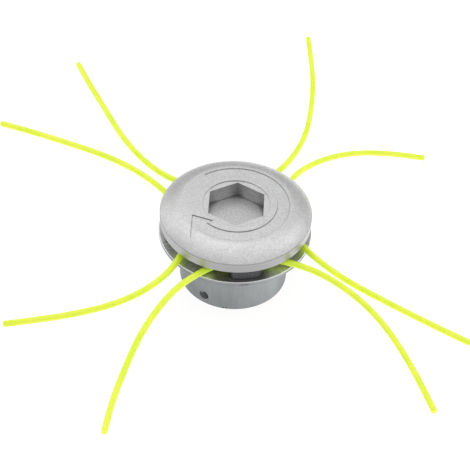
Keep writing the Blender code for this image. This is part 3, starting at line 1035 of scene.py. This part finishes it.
@dataclass
class Cap:
    """The cap: domed top, rim, spigot, hexagonal pocket and sunk arrow.

    The arrow's barbs are given by radius and azimuth.
    """

    shared: Shared
    finish: CapFinish = field(default_factory=CapFinish)
    edge_height: float = 5.7 * MM
    edge_round: float = 0.4 * MM
    shoulder_rise: float = 5.4 * MM
    plateau_rise: float = 0.3 * MM
    plateau_radius: float = 29.5 * MM
    start_slope: float = 9.0
    spigot_radius: float = 19.0 * MM
    spigot_edge: float = 0.8 * MM
    spot_face_radius: float = 17.6 * MM
    spot_face_depth: float = 0.5 * MM
    hex_across_flats: float = 28.7 * MM
    hex_depth: float = 8.9 * MM
    hex_corner_azimuth: float = 18.9
    arrow_depth: float = 0.5 * MM
    arrow_radius: float = 24.7 * MM
    arrow_band_width: float = 6.4 * MM
    arrow_outer_barb: Point = (34.3 * MM, -141.6)
    arrow_inner_barb: Point = (18.25 * MM, -140.5)
    arrow_tail_azimuth: float = 119.0
    arrow_neck_azimuth: float = -143.0
    arrow_tip_azimuth: float = -165.5
    edge_break: float = 0.12 * MM
    edge_break_reach: float = 1.0 * MM

    @property
    def edge_top(self) -> float:
        """Height where the shoulder meets the rim's side."""
        return self.shared.cap_bottom + self.edge_height

    @property
    def top(self) -> float:
        """Height that the plateau would reach on the axis."""
        return self.edge_top + self.shoulder_rise + self.plateau_rise

    @property
    def spot_face(self) -> float:
        """Height of the flat ring round the pocket."""
        return self.top - self.spot_face_depth

    @property
    def pocket_floor(self) -> float:
        """Height where the pocket's six walls end."""
        return self.spot_face - self.hex_depth

    @property
    def hex_corner_radius(self) -> float:
        """Distance of the pocket's corners from the axis."""
        return self.hex_across_flats / math.sqrt(3)

    def crown(self, lowered: float = 0.0) -> list[Point]:
        """Upper side of the cap: the arched plateau and the round shoulder.

        Args:
            lowered: How far below the cap's own surface.

        Returns:
            Points (radius, height) from the centre to the edge.
        """
        top = self.top - lowered
        plateau = (self.plateau_radius ** 2 + self.plateau_rise ** 2) / (2 * self.plateau_rise)
        plateau_end = math.acos(self.plateau_radius / plateau)
        run = self.shared.cap_radius - self.plateau_radius
        slope = math.radians(self.start_slope)
        half_sweep = math.atan2(self.shoulder_rise, run) - slope
        shoulder = math.hypot(run, self.shoulder_rise) / (2 * math.sin(half_sweep))
        start = math.pi / 2 - slope
        center = (self.plateau_radius - shoulder * math.cos(start),
                  top - self.plateau_rise - shoulder * math.sin(start))
        return (arc((0.0, top - plateau), plateau, math.pi / 2, plateau_end)
                + arc(center, shoulder, start, start - 2 * half_sweep)[1:])

    def section(self) -> list[Point]:
        """Half section of the cap: crown, rim and spigot.

        Returns:
            Points (radius, height) of the section.
        """
        shared = self.shared
        crown = self.crown()
        lower = rounded((
            (*crown[-1], 0.0),
            (shared.cap_radius, shared.cap_bottom, self.edge_round),
            (self.spigot_radius, shared.cap_bottom, 0.0),
            (self.spigot_radius, shared.spigot_end, self.spigot_edge),
            (0.0, shared.spigot_end, 0.0),
        ))
        return crown + lower[1:]

    def arrow_radii(self) -> tuple[float, float]:
        """Inner and outer radius of the arrow's band."""
        half = self.arrow_band_width / 2
        return self.arrow_radius - half, self.arrow_radius + half

    def arrow_head(self) -> list[Point]:
        """The head's outer barb, tip and inner barb."""
        return [polar(*self.arrow_outer_barb), polar(self.arrow_radius, self.arrow_tip_azimuth),
                polar(*self.arrow_inner_barb)]

    def arrow_plan(self) -> list[Point]:
        """Plan of the arrow: a band that runs from its tail to a pointed head.

        Returns:
            Points of the outline.
        """
        inner, outer = self.arrow_radii()
        tail = math.radians(self.arrow_tail_azimuth)
        neck = math.radians(self.arrow_neck_azimuth)
        return (arc((0.0, 0.0), outer, tail, neck) + self.arrow_head()
                + arc((0.0, 0.0), inner, neck, tail))

    def arrow(self, above: float) -> Blank:
        """Cutter for the arrow, whose floor follows the crown.

        Args:
            above: Height of the cutter's top.

        Returns:
            The cutter.
        """
        arrow = Piece("arrow", Blank().extrude(self.arrow_plan(), self.shared.cap_bottom, above))
        below = self.shared.cap_bottom - CUTTER_REACH
        kept = [*self.crown(self.arrow_depth), (self.shared.cap_radius, below), (0.0, below)]
        arrow.combine(Blank().turn(kept), Change.CUT)
        blank = Blank()
        blank.mesh.from_mesh(arrow.object.data)
        bpy.data.objects.remove(arrow.object)
        return blank

    def build(self) -> list[bpy.types.Object]:
        """Turn the cap, cut its pocket and arrow, break its edges and dress it.

        Returns:
            The finished cap.
        """
        above = self.top + CUTTER_REACH
        cap = Piece("turned_cap", Blank().turn(self.section()))
        cap.combine(Blank().turn(((0.0, above), (self.spot_face_radius, above),
                                  (self.spot_face_radius, self.spot_face), (0.0, self.spot_face))),
                    Change.CUT)
        place = (Matrix.Translation((0.0, 0.0, (above + self.pocket_floor) / 2))
                 @ Matrix.Rotation(math.radians(self.hex_corner_azimuth - PRISM_CORNER_AZIMUTH), 4, "Z"))
        corner = self.hex_corner_radius
        cap.combine(Blank().cone(corner, corner, above - self.pocket_floor, HEX_SIDES, place), Change.CUT)
        cap.combine(self.arrow(above), Change.CUT)
        cap.round_edges(lambda middle: middle.z > self.spot_face - self.edge_break_reach, self.edge_break)
        return [cap.dress(self.finish.material(self), "cap_disc")]


@dataclass(frozen=True)
class SteelFinish:
    """Zinc plating of the thread bush."""

    bright: Colour = (0.66, 0.65, 0.60)
    dull: Colour = (0.46, 0.44, 0.36)
    bloom: Pattern = Pattern(0.5)
    bloom_contrast: Span = (0.35, 0.7)
    metallic: float = 1.0
    roughness: float = 0.32
    grain: Pattern = Pattern(5.0)
    grain_roughness: float = 0.2
    grain_depth: float = 0.01 * MM

    def material(self) -> bpy.types.Material:
        """Zinc plate with a faint yellow bloom.

        Returns:
            The material.
        """
        paint = Paint("zinc_plated_steel", self.metallic, self.roughness)
        bloom = paint.step(paint.noise(self.bloom), self.bloom_contrast)
        grain = paint.noise(self.grain)
        paint.wear("Base Color", paint.blend(bloom, self.bright, self.dull))
        paint.wear("Roughness", paint.vary(self.roughness, grain, self.grain_roughness))
        paint.emboss(grain, self.grain_depth)
        return paint.material


@dataclass
class ThreadBush:
    """The steel bush with its left-hand shaft thread.

    The flats of a thread's tooth start and end at shares of the pitch.
    """

    shared: Shared
    finish: SteelFinish = field(default_factory=SteelFinish)
    radius: float = 7.0 * MM
    flange_thickness: float = 1.5 * MM
    edge: float = 0.6 * MM
    thread_radius: float = 5.0 * MM
    minor_radius: float = 4.325 * MM
    pitch: float = 1.25 * MM
    crest: Span = (0.0, 1 / 4)
    root: Span = (9 / 16, 11 / 16)
    spare_turns: int = 2
    thread_steps: int = 120
    mouth_sides: int = 120

    def blank(self) -> Blank:
        """The flanged bush without its bore.

        Returns:
            The blank.
        """
        shared = self.shared
        seat = shared.bush_low + self.flange_thickness
        return Blank().turn(rounded((
            (0.0, shared.bush_top, 0.0), (self.radius, shared.bush_top, self.edge),
            (self.radius, seat, 0.0), (shared.bush_flange_radius, seat, 0.0),
            (shared.bush_flange_radius, shared.bush_low, self.edge / 2), (0.0, shared.bush_low, 0.0),
        )))

    def tap(self) -> Blank:
        """Cutter with the thread: a zigzag spun by one pitch, so that each tooth meets the next.

        Returns:
            The cutter.
        """
        low = self.shared.bush_low - CUTTER_REACH
        high = self.shared.bush_top + CUTTER_REACH
        tooth = [(radius, self.pitch * share) for radius, flat in
                 ((self.minor_radius, self.crest), (self.thread_radius, self.root)) for share in flat]
        turns = math.ceil((high - low) / self.pitch) + self.spare_turns
        tap = Blank()
        mesh = tap.mesh
        verts = [mesh.verts.new((radius, 0.0, low + self.pitch * turn + height))
                 for turn in range(-self.spare_turns, turns) for radius, height in tooth]
        edges = [mesh.edges.new(pair) for pair in zip(verts, verts[1:])]
        bmesh.ops.spin(mesh, geom=verts + edges, cent=ORIGIN, axis=UP, angle=math.tau,
                       dvec=(0.0, 0.0, -self.pitch / self.thread_steps), steps=self.thread_steps)
        bmesh.ops.remove_doubles(mesh, verts=mesh.verts, dist=WELD_DISTANCE)
        for height, outwards in ((low, DOWN), (high, UP)):
            cut = bmesh.ops.bisect_plane(mesh, geom=mesh.verts[:] + mesh.edges[:] + mesh.faces[:],
                                         plane_co=(0.0, 0.0, height), plane_no=outwards, clear_outer=True)
            rim = [part for part in cut["geom_cut"] if isinstance(part, bmesh.types.BMEdge)]
            bmesh.ops.edgeloop_fill(mesh, edges=rim)
        bmesh.ops.recalc_face_normals(mesh, faces=mesh.faces)
        return tap

    def build(self) -> list[bpy.types.Object]:
        """Turn the bush, cut its thread, open both mouths and dress it.

        Returns:
            The finished bush.
        """
        bush = Piece("threaded_bush", self.blank())
        bush.combine(self.tap(), Change.CUT)
        reach = self.edge + CUTTER_REACH
        wide = self.thread_radius + reach
        narrow = self.thread_radius - self.edge / 2
        inset = (self.edge - CUTTER_REACH) / 2
        for middle, lower, upper in ((self.shared.bush_low + inset, wide, narrow),
                                     (self.shared.bush_top - inset, narrow, wide)):
            bush.combine(Blank().cone(lower, upper, reach, self.mouth_sides,
                                      Matrix.Translation((0.0, 0.0, middle))), Change.CUT)
        return [bush.dress(self.finish.material(), "shaft_thread_insert")]


@dataclass(frozen=True)
class NylonFinish:
    """Bright yellow-green trimmer line, painted greener where the cap shades it, with a faint painted glow.
    """

    light: Colour = (0.90, 0.985, 0.075)
    deep: Colour = (0.78, 0.95, 0.045)
    # Painted shade: the line turns this green near the head, where the cap shades it.
    green: Colour = (0.61, 0.89, 0.03)
    green_end: Span = (30.0, 54.0)
    cloud: Pattern = Pattern(0.12)
    cloud_contrast: Span = (0.3, 0.7)
    roughness: float = 0.35
    refraction: float = 1.53
    glow: float = 0.16
    marks: Pattern = Pattern(1.4)
    marks_roughness: float = 0.15
    marks_depth: float = 0.012 * MM

    def material(self) -> bpy.types.Material:
        """Glossy nylon with a faint painted glow and drawing marks.

        Returns:
            The material.
        """
        paint = Paint("yellow_green_nylon", 0.0, self.roughness)
        cloud = paint.step(paint.noise(self.cloud), self.cloud_contrast)
        marks = paint.noise(self.marks)
        outside = paint.step(paint.radius, self.green_end)
        # Painted shade: green near the head, where the cap shades the line.
        colour = paint.blend(outside, self.green, paint.blend(cloud, self.light, self.deep))
        paint.wear("Base Color", colour)
        # Painted glow: the colour is also emitted, so the line glows though no lamp lights it.
        paint.wear("Emission Color", colour)
        paint.shader.inputs["Emission Strength"].default_value = self.glow
        paint.shader.inputs["IOR"].default_value = self.refraction
        paint.wear("Roughness", paint.vary(self.roughness, marks, self.marks_roughness))
        paint.emboss(marks, self.marks_depth)
        return paint.material


@dataclass(frozen=True)
class Strand:
    """One cutting line: its node, its post's azimuth, its length and its route.

    The route is in millimetres in the post's own frame: X runs out along the post and Y
    along the rim, and the middle point lies behind the post.
    """

    node: str
    azimuth: float
    length: float
    route: tuple[Point, ...]


STRANDS = (
    Strand("front_line", -90.0, 0.282, (
        (129.5, -79.5), (111.5, -74.0), (92.5, -66.5), (74.0, -58.0), (58.5, -48.5), (45.0, -37.5),
        (32.5, -20.0), (28.5, -10.0), (27.0, 0.0), (28.0, 10.0), (31.0, 20.0),
        (39.5, 34.5), (54.5, 48.5), (73.0, 59.0), (92.5, 65.5), (114.5, 70.0), (136.0, 73.0))),
    Strand("right_line", 0.0, 0.243, (
        (101.5, -97.0), (88.0, -85.0), (75.0, -73.0), (62.0, -60.5), (50.0, -48.0), (40.5, -35.5),
        (32.0, -20.0), (28.5, -10.0), (27.0, 0.0), (27.5, 10.0), (30.0, 20.0),
        (40.0, 35.5), (52.0, 43.5), (65.0, 48.0), (81.0, 49.0), (98.0, 46.0), (114.0, 41.0))),
    Strand("back_line", 90.0, 0.316, (
        (161.0, -70.0), (138.0, -67.5), (114.5, -64.0), (91.5, -58.5), (70.5, -51.5), (49.5, -39.5),
        (32.0, -20.0), (28.5, -10.0), (27.0, 0.0), (28.5, 10.0), (32.5, 20.0),
        (44.0, 34.5), (61.5, 46.0), (83.5, 55.0), (105.5, 61.5), (127.5, 68.0), (148.5, 73.5))),
    Strand("left_line", 180.0, 0.266, (
        (120.5, -96.5), (102.5, -86.5), (84.5, -75.5), (67.0, -64.0), (51.0, -50.5), (38.0, -34.5),
        (30.5, -20.0), (28.0, -10.0), (27.0, 0.0), (28.0, 10.0), (31.5, 20.0),
        (40.0, 32.5), (52.5, 43.0), (68.0, 50.5), (87.0, 55.0), (106.0, 57.0), (123.0, 58.0))),
)


def smooth_curve(points: Sequence[Point], pitch: float) -> list[Point]:
    """Points spaced evenly along the natural cubic curve through flat route points.

    Args:
        points: The route's own points.
        pitch: Distance between the points that are returned.

    Returns:
        The even points, both ends included.
    """
    knots = np.array(points, dtype=float)
    spans = np.linalg.norm(np.diff(knots, axis=0), axis=1)
    count = len(knots)
    system = np.eye(count)
    bends = np.zeros((count, 2))
    for i in range(1, count - 1):
        system[i, i - 1:i + 2] = (spans[i - 1], 2 * (spans[i - 1] + spans[i]), spans[i])
        bends[i] = 6 * ((knots[i + 1] - knots[i]) / spans[i] - (knots[i] - knots[i - 1]) / spans[i - 1])
    bends = np.linalg.solve(system, bends)
    dense = []
    for i, span in enumerate(spans):
        for step in np.linspace(0.0, span, CURVE_SAMPLES, endpoint=(i == count - 2)):
            rest = span - step
            dense.append(bends[i] * rest ** 3 / (6 * span) + bends[i + 1] * step ** 3 / (6 * span)
                         + (knots[i] / span - bends[i] * span / 6) * rest
                         + (knots[i + 1] / span - bends[i + 1] * span / 6) * step)
    fine = np.array(dense)
    run = np.concatenate(([0.0], np.cumsum(np.linalg.norm(np.diff(fine, axis=0), axis=1))))
    stops = np.linspace(0.0, run[-1], max(2, round(run[-1] / pitch)) + 1)
    return [(float(np.interp(s, run, fine[:, 0])), float(np.interp(s, run, fine[:, 1]))) for s in stops]


@dataclass
class CuttingLines:
    """The four lines, each hooked round the back of one post."""

    shared: Shared
    finish: NylonFinish = field(default_factory=NylonFinish)
    diameter: float = 3.3 * MM
    point_pitch: float = 1.1 * MM
    section_detail: int = 6
    tip_share: float = 0.86

    def lay(self, strand: Strand, material: bpy.types.Material) -> bpy.types.Object:
        """Lay one line along its route.

        Args:
            strand: The line's route and facts.
            material: Its finish.

        Returns:
            The curve object.
        """
        points = smooth_curve([(x * MM, y * MM) for x, y in strand.route], self.point_pitch)
        path = bpy.data.curves.new(strand.node, "CURVE")
        path.dimensions = "3D"
        path.bevel_depth = self.diameter / 2
        path.bevel_resolution = self.section_detail
        path.use_fill_caps = True
        spline = path.splines.new("POLY")
        spline.points.add(len(points) - 1)
        turn = Matrix.Rotation(math.radians(strand.azimuth), 3, "Z")
        for point, (x, y) in zip(spline.points, points):
            point.co = (*(turn @ Vector((x, y, self.shared.line_height))), 1.0)
        for tip in (spline.points[0], spline.points[-1]):
            tip.radius = self.tip_share
        spline.use_smooth = True
        path.materials.append(material)
        line = bpy.data.objects.new(f"nylon_{strand.node}", path)
        bpy.context.scene.collection.objects.link(line)
        tip = spline.points[0].co
        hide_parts(strand.node)
        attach(line, BODY)
        return line

    def build(self) -> list[bpy.types.Object]:
        """Lay all four lines."""
        material = self.finish.material()
        return [self.lay(strand, material) for strand in STRANDS]


@dataclass(frozen=True)
class Softbox:
    """A square soft light: where it hangs round the head, its size and its power."""

    name: str
    azimuth: float
    elevation: float
    distance: float
    size: float
    power: float


@dataclass
class Studio:
    """Pale floor, soft light and the camera at the photo's angle.

    The floor's spans are in millimetres from the head's axis.
    """

    target: Vector = field(default_factory=lambda: Vector((0.0, 0.0, 21.97 * MM)))
    distance: float = 0.700
    azimuth: float = -10.5
    elevation: float = 44.19
    roll: float = 2.865
    lens: float = 99.85
    sensor_width: float = 36.0
    shift_x: float = 0.48 / IMAGE_WIDTH
    shift_y: float = 6.77 / IMAGE_WIDTH
    clip: Span = (0.01, 100.0)
    softboxes: tuple[Softbox, ...] = (
        Softbox("back_softbox", 200.0, 62.0, 1.1, 0.7, 0.9),
        Softbox("right_softbox", 95.0, 40.0, 1.2, 0.6, 1.4),
        Softbox("left_softbox", -132.0, 22.0, 1.2, 0.6, 1.4),
    )
    floor_radius: float = 6.0
    floor_sides: int = 64
    floor_albedo: float = 0.18
    floor_roughness: float = 0.9
    floor_glow: float = 0.90
    right_glow: float = 0.75
    left_glow: float = 0.30
    far_shade: float = 0.35
    side_span: Span = (32.0, 95.0)
    left_glow_end: Span = (32.0, 190.0)
    far_span: Span = (300.0, 420.0)
    sky_low: float = 0.13
    sky_high: float = 0.96
    sky_span: Span = (0.14, 0.95)

    def direction(self, azimuth: float, elevation: float) -> Vector:
        """Unit vector towards an azimuth round the head and an elevation, in degrees."""
        turn, rise = math.radians(azimuth), math.radians(elevation)
        return Vector((math.sin(turn) * math.cos(rise), -math.cos(turn) * math.cos(rise), math.sin(rise)))

    def aim(self, thing: bpy.types.Object, towards: Vector) -> None:
        """Turn a camera or light so that it looks along a vector."""
        thing.rotation_mode = "QUATERNION"
        thing.rotation_quaternion = towards.to_track_quat("-Z", "Y")

    def camera(self) -> None:
        """Set up the photo's camera."""
        data = bpy.data.cameras.new("camera")
        data.lens = self.lens
        data.sensor_width = self.sensor_width
        data.shift_x = self.shift_x
        data.shift_y = self.shift_y
        data.clip_start, data.clip_end = self.clip
        camera = bpy.data.objects.new("camera", data)
        bpy.context.scene.collection.objects.link(camera)
        back = self.direction(self.azimuth, self.elevation)
        camera.location = self.target + back * self.distance
        self.aim(camera, -back)
        roll = Matrix.Rotation(math.radians(self.roll), 3, "Z").to_quaternion()
        camera.rotation_quaternion = camera.rotation_quaternion @ roll
        bpy.context.scene.camera = camera

    def hang(self, softbox: Softbox) -> None:
        """Hang a soft light that points at the head.

        Args:
            softbox: The light.
        """
        data = bpy.data.lights.new(softbox.name, "AREA")
        data.shape = "SQUARE"
        data.size = softbox.size
        data.energy = softbox.power
        light = bpy.data.objects.new(softbox.name, data)
        bpy.context.scene.collection.objects.link(light)
        away = self.direction(softbox.azimuth, softbox.elevation)
        light.location = self.target + away * softbox.distance
        self.aim(light, -away)

    def floor(self) -> None:
        """Lay a pale floor that glows, so that shadows stay light.

        It glows more to the right and to the front left, and less far behind the head,
        which is what the metal mirrors in the photo.
        """
        disc = Blank()
        bmesh.ops.create_circle(disc.mesh, cap_ends=True, segments=self.floor_sides,
                                radius=self.floor_radius)
        floor = disc.release("floor")
        paint = Paint("pale_floor", 0.0, self.floor_roughness)
        paint.shader.inputs["Base Color"].default_value = (self.floor_albedo,) * 3 + (1.0,)
        paint.shader.inputs["Specular IOR Level"].default_value = 0.0
        right = paint.step(paint.x, self.side_span)
        left = paint.step(0.0 - paint.x, self.side_span) * (1.0 - paint.step(paint.y, self.left_glow_end))
        far = paint.step(paint.y, self.far_span)
        glow = self.floor_glow + right * self.right_glow + left * self.left_glow - far * self.far_shade
        paint.wear("Emission Color", paint.node("ShaderNodeCombineXYZ", inputs={0: glow, 1: glow, 2: glow}))
        paint.shader.inputs["Emission Strength"].default_value = 1.0
        floor.data.materials.append(paint.material)

    def world(self) -> None:
        """Make a pale surrounding, brighter overhead than at the horizon."""
        world = bpy.data.worlds.new("studio")
        world.use_nodes = True
        tree = Tree(world.node_tree)
        direction = tree.node("ShaderNodeTexCoord", output="Generated")
        height = tree.node("ShaderNodeSeparateXYZ", inputs={0: direction}, output="Z")
        glow = tree.blend(tree.step(height, self.sky_span), (self.sky_low,) * 3, (self.sky_high,) * 3)
        world.node_tree.links.new(glow.socket, world.node_tree.nodes["Background"].inputs["Color"])
        bpy.context.scene.world = world

    def build(self) -> None:
        """Set the stage."""
        bpy.context.scene.view_settings.view_transform = "Standard"
        self.world()
        self.floor()
        for softbox in self.softboxes:
            self.hang(softbox)
        self.camera()


def main() -> None:
    """Dress the head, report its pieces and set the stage."""
    logging.basicConfig(level=logging.INFO, format="%(name)s: %(message)s")
    shared = Shared.from_frame()
    for assembly in (CuttingLines(shared), CastBody(shared), Cap(shared), ThreadBush(shared)):
        for piece in assembly.build():
            LOG.info("%s: %s with the finish %s", piece.name, piece.type.lower(),
                     piece.active_material.name)
    Studio().build()


if __name__ == "__main__":
    main()
